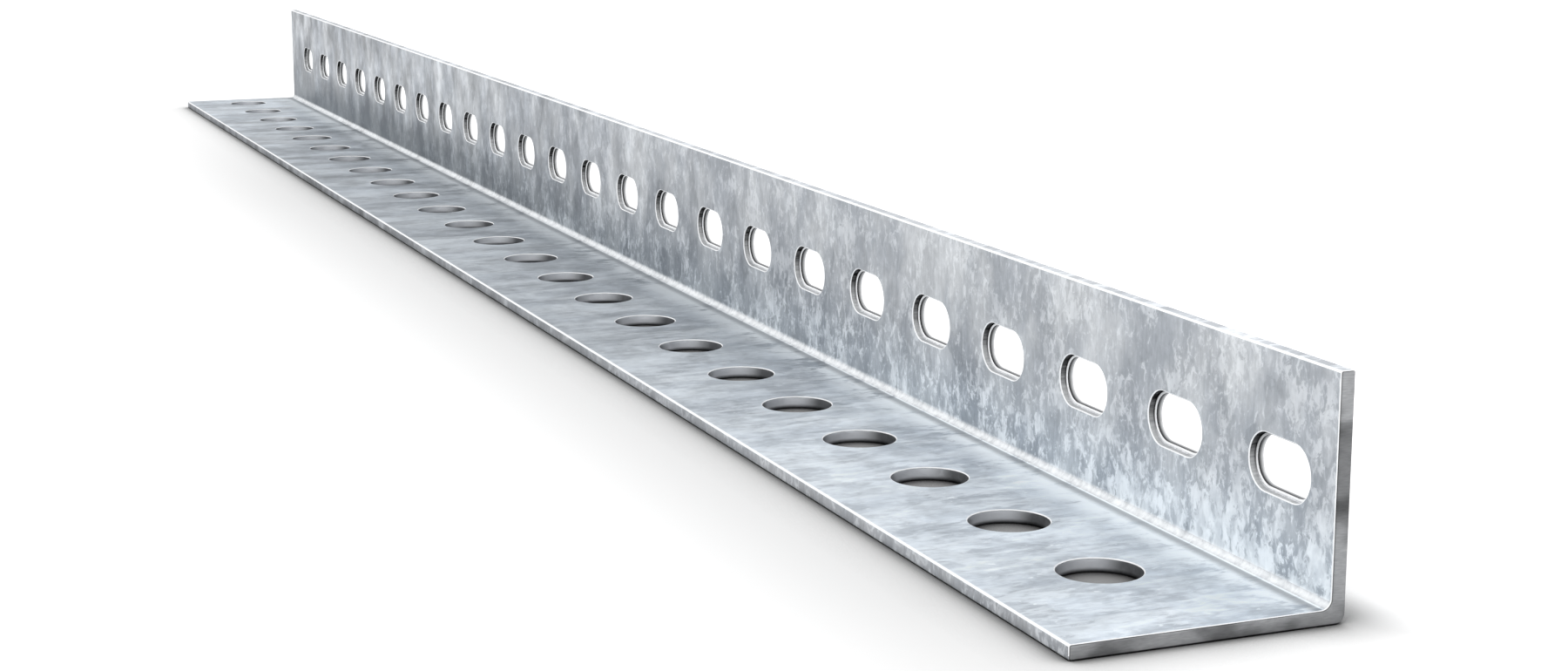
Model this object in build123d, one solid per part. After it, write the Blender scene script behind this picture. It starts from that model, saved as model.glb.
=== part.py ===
from build123d import *
import os

# Slotted angle, one rolled length lying on its wide leg. Frame: X runs along the length with the
# photographed near end at +X, the upright leg stands on the +Y side, Z is up from the floor.
# All sizes are in millimetres.

# section
LENGTH = 980.0
BASE_LEG = 60.0
UPRIGHT_LEG = 50.0
THICKNESS = 3.2
INNER_FILLET = 2.1
HEEL_RADIUS = 2.2
TOE_RADIUS = 0.5
END_ARRIS = 0.45

# punching, the two rows half a pitch apart
PITCH = 40.0
HOLES_PER_LEG = 24
SLOT_MARGIN = 20.0
ROUND_MARGIN = 40.0
SLOT_LENGTH = 22.0
SLOT_HEIGHT = 12.0
ROUND_DIAMETER = 18.0

# a slot is punched from the back: rough break-out zone in front, then a ledge and the clean land
BREAK_DEPTH = 1.5
LEDGE = 0.7

HALF_LENGTH = LENGTH / 2
BACK_Y = BASE_LEG / 2
FRONT_Y = -BACK_Y
INNER_Y = BACK_Y - THICKNESS
ROUND_Y = (FRONT_Y + INNER_Y) / 2
SLOT_Z = (UPRIGHT_LEG + THICKNESS) / 2

slot_xs = [HALF_LENGTH - SLOT_MARGIN - PITCH * i for i in range(HOLES_PER_LEG)]
round_xs = [HALF_LENGTH - ROUND_MARGIN - PITCH * i for i in range(HOLES_PER_LEG)]


def near(value, target):
    return abs(value - target) < 0.01


def at(edge, y=None, z=None):
    centre = edge.center()
    return (y is None or near(centre.Y, y)) and (z is None or near(centre.Z, z))


def obround(x, y, length, height, depth):
    """An obround bar lying along X, from plane y back by depth."""
    outline = Plane.XZ.offset(-y) * Pos(x, SLOT_Z) * SlotOverall(length, height)
    return extrude(outline, amount=-depth)


# the L section run along X, heel and root rounded, the toe edges and both ends eased
base = Pos(0, FRONT_Y, 0) * Box(
    LENGTH, BASE_LEG, THICKNESS, align=(Align.CENTER, Align.MIN, Align.MIN)
)
upright = Pos(0, INNER_Y, 0) * Box(
    LENGTH, THICKNESS, UPRIGHT_LEG, align=(Align.CENTER, Align.MIN, Align.MIN)
)
angle = (base + upright).clean()
runs = angle.edges().filter_by(Axis.X)
angle = fillet([e for e in runs if at(e, BACK_Y, 0)], HEEL_RADIUS)
runs = angle.edges().filter_by(Axis.X)
angle = fillet([e for e in runs if at(e, INNER_Y, THICKNESS)], INNER_FILLET)
runs = angle.edges().filter_by(Axis.X)
angle = fillet([e for e in runs if at(e, y=FRONT_Y) or at(e, z=UPRIGHT_LEG)], TOE_RADIUS)
ends = [e for f in angle.faces().filter_by(Axis.X) for e in f.edges()]
angle = chamfer(ends, END_ARRIS)

# slots through the upright leg, the front zone a little larger than the land behind it
throat = (SLOT_LENGTH - 2 * LEDGE, SLOT_HEIGHT - 2 * LEDGE)
angle -= [obround(x, INNER_Y, *throat, THICKNESS) for x in slot_xs]
angle -= [obround(x, INNER_Y, SLOT_LENGTH, SLOT_HEIGHT, BREAK_DEPTH) for x in slot_xs]

# round holes through the wide leg
bore = ROUND_DIAMETER / 2
angle -= [Pos(x, ROUND_Y, THICKNESS / 2) * Cylinder(bore, THICKNESS) for x in round_xs]

angle.label = "slotted_angle"
angle.color = Color(0.72, 0.74, 0.76)
os.makedirs("parts", exist_ok=True)
export_step(angle, "parts/slotted_angle.step")
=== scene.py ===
import bpy
import math
from mathutils import Matrix, Vector


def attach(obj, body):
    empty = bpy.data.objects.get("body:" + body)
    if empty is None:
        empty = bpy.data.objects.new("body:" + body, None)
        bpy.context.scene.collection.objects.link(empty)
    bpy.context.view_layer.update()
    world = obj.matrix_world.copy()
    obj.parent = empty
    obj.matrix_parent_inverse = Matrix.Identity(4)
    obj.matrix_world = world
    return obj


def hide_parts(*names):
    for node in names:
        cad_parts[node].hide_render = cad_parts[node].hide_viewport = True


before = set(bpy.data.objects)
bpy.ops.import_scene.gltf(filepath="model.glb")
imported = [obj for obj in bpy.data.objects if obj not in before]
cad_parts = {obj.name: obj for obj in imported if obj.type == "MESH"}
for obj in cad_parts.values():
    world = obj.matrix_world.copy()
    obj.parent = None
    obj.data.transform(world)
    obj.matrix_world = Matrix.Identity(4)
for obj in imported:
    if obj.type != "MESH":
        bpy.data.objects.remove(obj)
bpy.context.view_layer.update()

scene = bpy.context.scene
scene.view_settings.view_transform = "Standard"

# Camera. It stands low off the near end of the angle and looks along it, tilted a little down.
# From there the angle's corners, edges and first holes fall where the photograph has them.
camera_place = (0.885652, -0.247611, 0.152633)
camera_turn = math.radians(67.86)
camera_tilt = math.radians(11.516)
photo_width = 1800
focal_pixels = 2935.1
film_width = 36
camera_data = bpy.data.cameras.new("camera")
camera_data.sensor_width = film_width
camera_data.lens = film_width * focal_pixels / photo_width
camera_data.clip_start = 0.01
camera = bpy.data.objects.new("camera", camera_data)
scene.collection.objects.link(camera)
camera.matrix_world = (
    Matrix.Translation(camera_place)
    @ Matrix.Rotation(camera_turn, 4, "Z")
    @ Matrix.Rotation(math.pi / 2 - camera_tilt, 4, "X")
)
scene.camera = camera

# Slotted angle. One length of 3.2 mm steel sheet, punched flat, rolled to an angle and dipped in
# molten zinc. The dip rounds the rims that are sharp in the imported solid, so a merged copy of the
# solid with rounded rims stands in for it.
sheet = 0.0032
leg_front = -0.030
leg_back = 0.030
inner_face = leg_back - sheet
upright_top = 0.050
half_length = 0.490
holes_in_row = 24
pitch = 0.040
rim_round = 0.00022
ledge_round = 0.00012
end_round = 0.00014
clear_of_edge = 0.001
toe_ease = 0.0006
end_ease = 0.0006
end_face = 0.0002
same_point = 0.00001
same_plane = math.radians(0.5)
sharp_from = 0.6

bpy.ops.object.select_all(action="DESELECT")
angle_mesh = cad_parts["slotted_angle"].data.copy()
angle_mesh.name = "angle_steel"
angle = bpy.data.objects.new("angle_steel", angle_mesh)
scene.collection.objects.link(angle)
angle.select_set(True)
bpy.context.view_layer.objects.active = angle
bpy.ops.mesh.customdata_custom_splitnormals_clear()
for name in ("rim", "sawn"):
    angle_mesh.attributes.new(name, "FLOAT", "FACE")
bpy.ops.object.mode_set(mode="EDIT")
bpy.ops.mesh.select_all(action="SELECT")
bpy.ops.mesh.remove_doubles(threshold=same_point)
bpy.ops.mesh.mark_sharp(clear=True)

# a cut through the middle of each hole leaves no face with a hole in it, so the flats merge clean
for i in range(2 * holes_in_row):
    cut_place = half_length - pitch / 2 * (i + 1)
    bpy.ops.mesh.select_all(action="SELECT")
    bpy.ops.mesh.bisect(plane_co=(cut_place, 0, 0), plane_no=(1, 0, 0))
    bpy.ops.mesh.mark_seam()
bpy.ops.mesh.select_all(action="SELECT")
bpy.ops.mesh.dissolve_limited(angle_limit=same_plane, delimit={"SEAM"})
bpy.ops.object.mode_set(mode="OBJECT")
bpy.ops.object.shade_smooth()


def round_edges(width, chosen):
    """Rounds the sharp edges whose two points are both chosen, and marks the new faces as rims."""
    bpy.ops.object.mode_set(mode="EDIT")
    bpy.ops.mesh.select_mode(type="EDGE")
    bpy.ops.mesh.select_all(action="DESELECT")
    bpy.ops.mesh.edges_select_sharp(sharpness=sharp_from)
    bpy.ops.object.mode_set(mode="OBJECT")
    points = angle_mesh.vertices
    for edge in angle_mesh.edges:
        if edge.select:
            edge.select = all(chosen(points[i].co) for i in edge.vertices)
    for point in points:
        point.select = False
    for face in angle_mesh.polygons:
        face.select = False
    for edge in angle_mesh.edges:
        if edge.select:
            for i in edge.vertices:
                points[i].select = True
    bpy.ops.object.mode_set(mode="EDIT")
    bpy.ops.mesh.bevel(offset=width, segments=2, affect="EDGES", clamp_overlap=False)
    bpy.ops.object.mode_set(mode="OBJECT")
    mark = angle_mesh.attributes["rim"].data
    for face in angle_mesh.polygons:
        if face.select:
            mark[face.index].value = 1.0


def between_ends(point):
    return abs(point.x) < half_length - clear_of_edge


def on_ledge(point):
    in_sheet = inner_face + clear_of_edge < point.y < leg_back - clear_of_edge
    return between_ends(point) and in_sheet


def on_hole_rim(point):
    return between_ends(point) and not on_ledge(point)


def on_sawn_edge(point):
    return half_length - end_ease < abs(point.x) < half_length - end_face


round_edges(rim_round, on_hole_rim)
round_edges(ledge_round, on_ledge)
round_edges(end_round, on_sawn_edge)

# the eased toe edges that face up and to the front are marked as rims too, for the same painted
# highlight
sawn_mark = angle_mesh.attributes["sawn"].data
rim_mark = angle_mesh.attributes["rim"].data
for face in angle_mesh.polygons:
    middle = face.center
    normal = face.normal
    at_toe = middle.y < leg_front + toe_ease or middle.z > upright_top - toe_ease
    if at_toe and normal.y < -0.1 and normal.z > 0.1:
        rim_mark[face.index].value = 1.0
    if abs(middle.x) > half_length - 0.0004 and abs(normal.x) > 0.6:
        sawn_mark[face.index].value = 1.0
weigh = angle.modifiers.new("weigh", "WEIGHTED_NORMAL")
weigh.mode = "FACE_AREA"
weigh.weight = 90
bpy.ops.object.modifier_apply(modifier="weigh")
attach(angle, "root")
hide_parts("slotted_angle")

zinc_grey = (0.50, 0.53, 0.57, 1)
zinc_pale = (0.76, 0.785, 0.81, 1)
bloom_white = (0.955, 0.98, 1.0, 1)
root_highlight_white = (0.97, 0.99, 1.0, 1)
rim_highlight_white = (0.96, 0.97, 0.98, 1)
root_crease_shade_grey = (0.20, 0.215, 0.235, 1)
land_painted_shadow = (0.012, 0.013, 0.015, 1)
land_painted_light = (0.74, 0.75, 0.76, 1)
broken_tint = (0.98, 1.0, 1.02)
ledge_highlight_tint = (0.98, 0.99, 1.0)
round_wall_tint = (0.97, 1.0, 1.05)
sawn_tint = (1.0, 1.02, 1.05)
cool_tint = (0.965, 1.0, 1.022)
edge_tint = (0.68, 0.69, 0.71, 1)

zinc = bpy.data.materials.new("galvanised_steel")
zinc.use_nodes = True
tree = zinc.node_tree
zinc_shader = tree.nodes["Principled BSDF"]
zinc_shader.inputs["Specular Tint"].default_value = edge_tint


def node(kind, inputs=None, **settings):
    """A node of the material in hand, with its settings and a value or a socket for each input."""
    made = tree.nodes.new(kind)
    for name, value in settings.items():
        setattr(made, name, value)
    for key, value in (inputs or {}).items():
        if isinstance(value, bpy.types.NodeSocket):
            tree.links.new(value, made.inputs[key])
        else:
            made.inputs[key].default_value = value
    return made


def maths(operation, a, b=0.0, c=0.0):
    return node("ShaderNodeMath", {0: a, 1: b, 2: c}, operation=operation).outputs[0]


def plus(a, b):
    return maths("ADD", a, b)


def minus(a, b):
    return maths("SUBTRACT", a, b)


def times(a, b):
    return maths("MULTIPLY", a, b)


def plus_share(start, share, mask):
    """The start, plus a share of the mask."""
    return maths("MULTIPLY_ADD", mask, share, start)


def larger(a, b):
    return maths("MAXIMUM", a, b)


def unsigned(value):
    return maths("ABSOLUTE", value)


def outside(mask):
    return minus(1.0, mask)


def above(value, limit):
    return maths("GREATER_THAN", value, limit)


def below(value, limit):
    return maths("LESS_THAN", value, limit)


def between(value, low, high):
    return times(above(value, low), below(value, high))


def ramp(value, low, high, to_low=0.0, to_high=1.0):
    """Runs smoothly from one value to another between two limits."""
    made = node(
        "ShaderNodeMapRange",
        {"Value": value, "From Min": low, "From Max": high, "To Min": to_low, "To Max": to_high},
        interpolation_type="SMOOTHSTEP",
    )
    return made.outputs["Result"]


def blend(factor, a, b):
    return node("ShaderNodeMix", {0: factor, 6: a, 7: b}, data_type="RGBA").outputs[2]


def vector_maths(operation, a, b):
    return node("ShaderNodeVectorMath", {0: a, 1: b}, operation=operation).outputs[0]


def stretched(vector, amounts):
    return vector_maths("MULTIPLY", vector, amounts)


def scaled(vector, amount):
    inputs = {0: vector, "Scale": amount}
    return node("ShaderNodeVectorMath", inputs, operation="SCALE").outputs[0]


def centred(colour):
    """A random colour as a direction, by taking mid grey off it."""
    return vector_maths("SUBTRACT", colour, (0.5, 0.5, 0.5))


def noise(vector, scale, detail, roughness, output="Fac"):
    inputs = {"Vector": vector, "Scale": scale, "Detail": detail, "Roughness": roughness}
    return node("ShaderNodeTexNoise", inputs).outputs[output]


in_mm = stretched(node("ShaderNodeTexCoord").outputs["Object"], (1000, 1000, 1000))
x, y, z = node("ShaderNodeSeparateXYZ", {0: in_mm}).outputs
facing = node("ShaderNodeNewGeometry").outputs["Normal"]
faces_x = unsigned(node("ShaderNodeSeparateXYZ", {0: facing}).outputs[0])
rim = node("ShaderNodeAttribute", attribute_name="rim").outputs["Fac"]
sawn_end = node("ShaderNodeAttribute", attribute_name="sawn").outputs["Fac"]

# the zinc ran off both legs across their width, so its pattern is drawn out that way
run = stretched(in_mm, (1.0, 0.30, 0.68))
bend = centred(noise(run, 0.22, 2, 0.70, "Color"))
warped = vector_maths("ADD", run, scaled(bend, 5.0))
leaf = node("ShaderNodeTexVoronoi", {"Vector": warped, "Scale": 0.15}).outputs["Color"]
leaf_tone = node("ShaderNodeSeparateColor", {0: leaf}).outputs[0]
cloud = ramp(noise(warped, 0.06, 3, 0.62), 0.34, 0.68)
drift = noise(warped, 0.09, 2, 0.6)
grain = noise(warped, 0.44, 5, 0.71)
wisp = ramp(noise(warped, 0.26, 2, 0.7), 0.36, 0.62, 0.45, 1.0)
streak = noise(stretched(in_mm, (1.0, 0.08, 0.16)), 1.3, 3, 0.62)
painted_glint_noise = noise(stretched(in_mm, (1.0, 0.35, 0.6)), 0.75, 3, 0.68)
patch = noise(in_mm, 0.075, 3, 0.66)
wander = minus(noise(in_mm, 0.6, 3, 0.65), 0.5)

# masks of the faces, in mm, each 1 on its face and 0 elsewhere
sheet_mm = 1000 * sheet
inner_mm = 1000 * inner_face
front_mm = 1000 * leg_front
back_mm = 1000 * leg_back
top_mm = 1000 * upright_top
inside = times(below(y, inner_mm + 0.1), above(z, sheet_mm - 0.1))
on_upright = times(inside, above(y, inner_mm - 0.1))
on_base = times(inside, below(z, sheet_mm + 0.15))
on_back = above(y, back_mm - 0.1)
on_top = above(z, top_mm - 0.1)
on_toe = below(y, front_mm + 0.15)
off_upright = outside(larger(on_upright, on_back))

# masks that fade along the angle and across it
near_end = ramp(x, -350.0, 420.0)
far_end = outside(near_end)
near_tip = ramp(x, 380.0, 480.0)
low = times(on_upright, ramp(z, 6.0, 28.0, 1.0, 0.0))
low_or_base = larger(low, on_base)
to_root = plus(larger(minus(inner_mm, y), 0.0), larger(minus(z, sheet_mm), 0.0))
beside_root = times(on_base, ramp(to_root, 3.0, 15.0, 1.0, 0.0))

# white bloom with leafy edges, heaviest low on the upright leg and beside the root, with painted
# glints added in
leafy = plus(grain, plus_share(-0.275, 0.55, drift))
leafy = plus(leafy, times(plus(low, on_base), 0.05))
leafy = plus(leafy, times(near_tip, times(low, 0.13)))
bloom_and_glint = ramp(leafy, 0.515, plus_share(0.605, 0.055, low))
bloom_and_glint = times(bloom_and_glint, plus_share(0.33, plus_share(0.27, 0.12, near_tip), low))
bloom_and_glint = times(times(bloom_and_glint, wisp), plus_share(0.2, 0.8, near_end))
root_bloom = ramp(plus(leafy, plus_share(-0.25, 0.5, patch)), 0.38, 0.56)
bloom_and_glint = larger(bloom_and_glint, times(beside_root, root_bloom))
# painted highlights: small white glints on the wide leg and low on the upright leg
painted_glint = times(ramp(painted_glint_noise, 0.64, 0.70), plus_share(0.2, 0.6, near_end))
bloom_and_glint = larger(bloom_and_glint, times(painted_glint, low_or_base))

# painted highlight: a white band along the root fillet, with a painted line of shade beside it in
# the crease on the wide leg
root_highlight = times(inside, ramp(plus(to_root, wander), 0.8, 2.0, 1.0, 0.0))
root_crease_shade = times(ramp(to_root, 1.6, 2.0), ramp(minus(to_root, wander), 2.7, 5.4, 1.0, 0.0))
root_crease_shade = times(root_crease_shade, on_base)
root_highlight_beyond_shade = times(root_highlight, outside(root_crease_shade))

# tone of the bare zinc, from the finest pattern to the widest, with painted shade on the far end
# and on the back
grain_share = plus_share(plus_share(0.50, 0.35, on_base), -0.34, low)
tone = plus_share(0.81, 0.05, low)
tone = plus(tone, times(minus(grain, 0.5), grain_share))
tone = plus(tone, plus_share(-0.06, 0.12, leaf_tone))
tone = plus(tone, times(minus(streak, 0.5), plus_share(0.34, -0.12, on_base)))
drift_share = times(far_end, plus_share(1.5, -1.1, low))
tone = plus(tone, times(minus(drift, 0.5), drift_share))
tone = plus(tone, times(on_base, ramp(patch, 0.36, 0.64, 0.29, 0.60)))
# painted shade: the far end is darker, most of all low on the upright leg
tone = minus(tone, times(far_end, plus_share(0.08, 0.47, low)))
# painted shade: the back face is darker
tone = times(larger(tone, 0.42), plus_share(1.0, -0.14, on_back))

# faces, duller in the middle of the wide leg, and cooler there and low on the upright leg
cloud = plus(times(cloud, plus_share(1.0, -0.5, off_upright)), times(off_upright, 0.26))
face_colour = scaled(blend(cloud, zinc_grey, zinc_pale), tone)
face_colour = blend(bloom_and_glint, face_colour, bloom_white)
at_ends = larger(ramp(x, 140.0, 400.0), ramp(x, -430.0, -260.0, 0.6, 0.0))
dulled = times(on_base, plus_share(-0.34, 0.34, at_ends))
face_colour = scaled(face_colour, plus(dulled, 1.0))
face_colour = blend(low_or_base, face_colour, stretched(face_colour, cool_tint))
# painted shade in the root crease, then the painted highlight along the root
face_colour = blend(times(root_crease_shade, 0.66), face_colour, root_crease_shade_grey)
face_colour = blend(root_highlight_beyond_shade, face_colour, root_highlight_white)
# painted highlight: the top edge face is lighter
face_colour = scaled(face_colour, plus_share(1.0, 0.32, on_top))
# painted shade and light on the toe edge face: darker towards the far end, a little lighter at the
# near end
toe_shade_and_light = ramp(x, -100.0, 420.0, -0.24, 0.10)
face_colour = scaled(face_colour, plus_share(1.0, toe_shade_and_light, on_toe))

# slot walls: a rough zone where the sheet broke away, darker towards the top as painted shade, a
# painted highlight on the ledge, and the land behind it painted from shadow to light
slot_place = 30.0
slot_height = 26.6
slot_straight = 5.0
slot_reach = 9.0
ledge_edge = 5.72
break_depth = 1.5
ledge_y = inner_mm + break_depth
half_pitch_mm = 500 * pitch
scratch = noise(stretched(in_mm, (1.6, 0.12, 1.6)), 1.0, 1, 0.6)
within_sheet = between(y, inner_mm + 0.2, back_mm - 0.2)
on_slot_wall = times(within_sheet, between(z, slot_height - slot_reach, slot_height + slot_reach))
on_slot_wall = times(on_slot_wall, below(unsigned(x), 488.0))
broken_tone_and_shade = plus_share(ramp(z, 19.5, 31.0, 0.40, -0.13), 0.34, scratch)
shelf_shade = times(above(y, ledge_y - 0.15), ramp(z, 21.0, 26.0, -0.5, 0.6))
broken_colour_and_shade = scaled(scaled(broken_tint, broken_tone_and_shade), outside(shelf_shade))
# painted shadow on the land just behind the ledge, fading to painted light at the back
land_shadow_and_light = blend(ramp(y, ledge_y + 0.3, back_mm + 0.1), land_painted_shadow, land_painted_light)
along_slot = unsigned(maths("WRAP", minus(x, slot_place), half_pitch_mm, -half_pitch_mm))
past_straight = larger(minus(along_slot, slot_straight), 0.0)
off_middle = node("ShaderNodeCombineXYZ", {0: past_straight, 1: minus(z, slot_height)}).outputs[0]
to_middle = node("ShaderNodeVectorMath", {0: off_middle}, operation="LENGTH").outputs["Value"]
# painted highlight: the ledge is painted bright, dimmer towards the top at the near end
ledge = times(on_slot_wall, between(y, ledge_y - 0.1, ledge_y + 0.2))
ledge = times(ledge, below(to_middle, ledge_edge))
ledge_highlight_tone = ramp(z, 22.0, 30.0, 0.96, plus_share(0.95, -0.45, near_tip))
slot_colour = blend(above(y, ledge_y + 0.1), broken_colour_and_shade, land_shadow_and_light)
slot_colour = blend(ledge, slot_colour, scaled(ledge_highlight_tint, ledge_highlight_tone))
colour = blend(on_slot_wall, face_colour, slot_colour)

# round holes' walls, with painted shade: dark in the middle of the far side, where the wall faces
# across the angle, and at the floor
on_round_wall = times(between(z, 0.05, 2.9), between(y, -26.0, 22.0))
round_wall_tone_and_shade = times(ramp(faces_x, 0.45, 1.0, 0.19, 0.90), ramp(z, 0.3, 1.3, 0.15, 1.0))
round_wall_tone_and_shade = plus(round_wall_tone_and_shade, plus_share(-0.02, 0.06, scratch))
colour = blend(on_round_wall, colour, scaled(round_wall_tint, round_wall_tone_and_shade))

# sawn ends, grey with soft bands, fine saw marks, a darker band across the middle height and a dark
# chamfer
band = noise(stretched(in_mm, (0.0, 0.06, 0.10)), 1.0, 2, 0.5)
saw_marks = noise(stretched(in_mm, (0.0, 0.5, 3.0)), 1.0, 1, 0.6)
darker_band = times(ramp(z, 21.0, 23.0), ramp(z, 39.5, 41.0, 1.0, 0.0))
chamfer = below(unsigned(x), 489.8)
sawn_tone = times(ramp(band, 0.40, 0.60, 0.145, 0.31), plus_share(0.75, 0.5, saw_marks))
sawn_tone = times(sawn_tone, plus_share(1.0, -0.45, darker_band))
sawn_tone = times(sawn_tone, plus_share(1.0, -0.5, chamfer))
colour = blend(sawn_end, colour, scaled(sawn_tint, sawn_tone))

# painted shade: everything darkens just above the floor; painted highlight: the rims are painted
# white except inside the slots
colour = scaled(colour, ramp(z, 0.12, 0.55, 0.2, 1.0))
inside_slot = times(on_slot_wall, above(y, ledge_y - 0.3))
# painted highlight on the rims
rim_highlight = times(rim, outside(larger(ledge, sawn_end)))
rim_highlight = times(times(rim_highlight, above(z, 1.0)), outside(inside_slot))
colour = blend(times(rim_highlight, 0.92), colour, rim_highlight_white)

# bloom, painted glints and the painted highlights on ledges, root and rims are chalky: less
# metallic and rougher than the bare zinc
chalk = larger(larger(bloom_and_glint, ledge), larger(root_highlight, times(rim_highlight, 0.85)))
metal = plus_share(0.80, -0.78, chalk)
rough = plus_share(plus_share(0.36, 0.10, leaf_tone), 0.2, chalk)

# each leaf of zinc tilts a little, over a fine relief that is left off under the painted root
# highlight
leaf_tilt = scaled(centred(leaf), 0.05)
tilted = vector_maths("ADD", facing, leaf_tilt)
tilted = node("ShaderNodeVectorMath", {0: tilted}, operation="NORMALIZE").outputs[0]
relief = {
    "Height": noise(run, 0.9, 1, 0.65),
    "Normal": tilted,
    "Strength": plus_share(0.5, -0.48, root_highlight),
    "Distance": 0.00006,
}
bump = node("ShaderNodeBump", relief).outputs[0]
tree.links.new(colour, zinc_shader.inputs["Base Color"])
tree.links.new(metal, zinc_shader.inputs["Metallic"])
tree.links.new(rough, zinc_shader.inputs["Roughness"])
tree.links.new(bump, zinc_shader.inputs["Normal"])
angle.data.materials.clear()
angle.data.materials.append(zinc)

# Floor. A wide plain white floor under the angle, which keeps its shadow, with painted shade from
# ambient occlusion near the steel and under it.
# To the camera and in reflections it also glows a little away from the steel, so that it ends white
# like the room.
floor_size = 12
floor_tint = (0.79, 0.79, 0.79)
shadow_reach = 0.014
shadow_depth = 2.4
far_glow = 0.45
bpy.ops.mesh.primitive_plane_add(size=floor_size, location=(0, 0, 0))
floor = bpy.context.object
floor.name = "floor"
paint = bpy.data.materials.new("floor_paint")
paint.use_nodes = True
tree = paint.node_tree
paint_shader = tree.nodes["Principled BSDF"]
paint_shader.inputs["Roughness"].default_value = 0.9
paint_shader.inputs["Specular IOR Level"].default_value = 0.0
paint_shader.inputs["Emission Color"].default_value = (1, 1, 1, 1)


def seen_directly():
    """1 for the camera and for reflections, and 0 for the light that falls on a surface."""
    path = node("ShaderNodeLightPath")
    seen = larger(path.outputs["Is Camera Ray"], path.outputs["Is Glossy Ray"])
    return larger(seen, path.outputs["Is Transmission Ray"])


floor_place = node("ShaderNodeTexCoord").outputs["Object"]
floor_axes = node("ShaderNodeSeparateXYZ", {0: floor_place}).outputs
along = floor_axes[0]
across = floor_axes[1]
clear = larger(minus(unsigned(along), half_length), minus(unsigned(across), leg_back))
# painted shade: the floor's colour is darkened by ambient occlusion raised to a power, and darker
# still under the steel, where it shows through the holes
shade = node("ShaderNodeAmbientOcclusion", {"Distance": shadow_reach}, samples=4).outputs["AO"]
shade = times(maths("POWER", shade, shadow_depth), ramp(clear, -0.006, -0.001, 0.55, 1.0))
behind_glow = ramp(across, 0.032, 0.050, 0.0, 0.18)
near_glow = larger(ramp(along, -0.50, -0.12, 0.24, 0.0), behind_glow)
near_glow = larger(near_glow, ramp(along, 0.49, 0.51, 0.0, 0.12))
glow = times(seen_directly(), ramp(clear, 0.0, 0.13, near_glow, far_glow))
tree.links.new(scaled(floor_tint, shade), paint_shader.inputs["Base Color"])
tree.links.new(times(glow, shade), paint_shader.inputs["Emission Strength"])
floor.data.materials.append(paint)

# Studio light. A white room that lights the angle most from low down and from the front, a soft
# lamp over the near end, and a wide soft lamp behind. The room itself is seen as plain white.
world = bpy.data.worlds.new("studio")
scene.world = world
world.use_nodes = True
tree = world.node_tree
background = tree.nodes["Background"]
background.inputs["Color"].default_value = (1, 1, 1, 1)
direction = node("ShaderNodeTexCoord").outputs["Generated"]
room_axes = node("ShaderNodeSeparateXYZ", {0: direction}).outputs
by_front = ramp(room_axes[1], -1.0, 1.0, 1.42, 0.88)
by_height = ramp(room_axes[2], 0.05, 0.85, 1.48, 0.60)
room = times(by_height, by_front)
seen = seen_directly()
tree.links.new(plus(seen, times(outside(seen), room)), background.inputs["Strength"])


def soft_lamp(name, position, target, wide, deep, watts):
    data = bpy.data.lights.new(name, "AREA")
    data.shape = "RECTANGLE"
    data.size = wide
    data.size_y = deep
    data.energy = watts
    lamp = bpy.data.objects.new(name, data)
    scene.collection.objects.link(lamp)
    lamp.location = position
    aim = Vector(target) - Vector(position)
    lamp.rotation_euler = aim.to_track_quat("-Z", "Y").to_euler()


soft_lamp("overhead", (0.35, -0.10, 1.5), (0.25, 0, 0), 1.2, 1.2, 3.0)
soft_lamp("behind", (0.35, 1.25, 0.80), (0.20, 0, 0), 1.8, 0.5, 11.0)
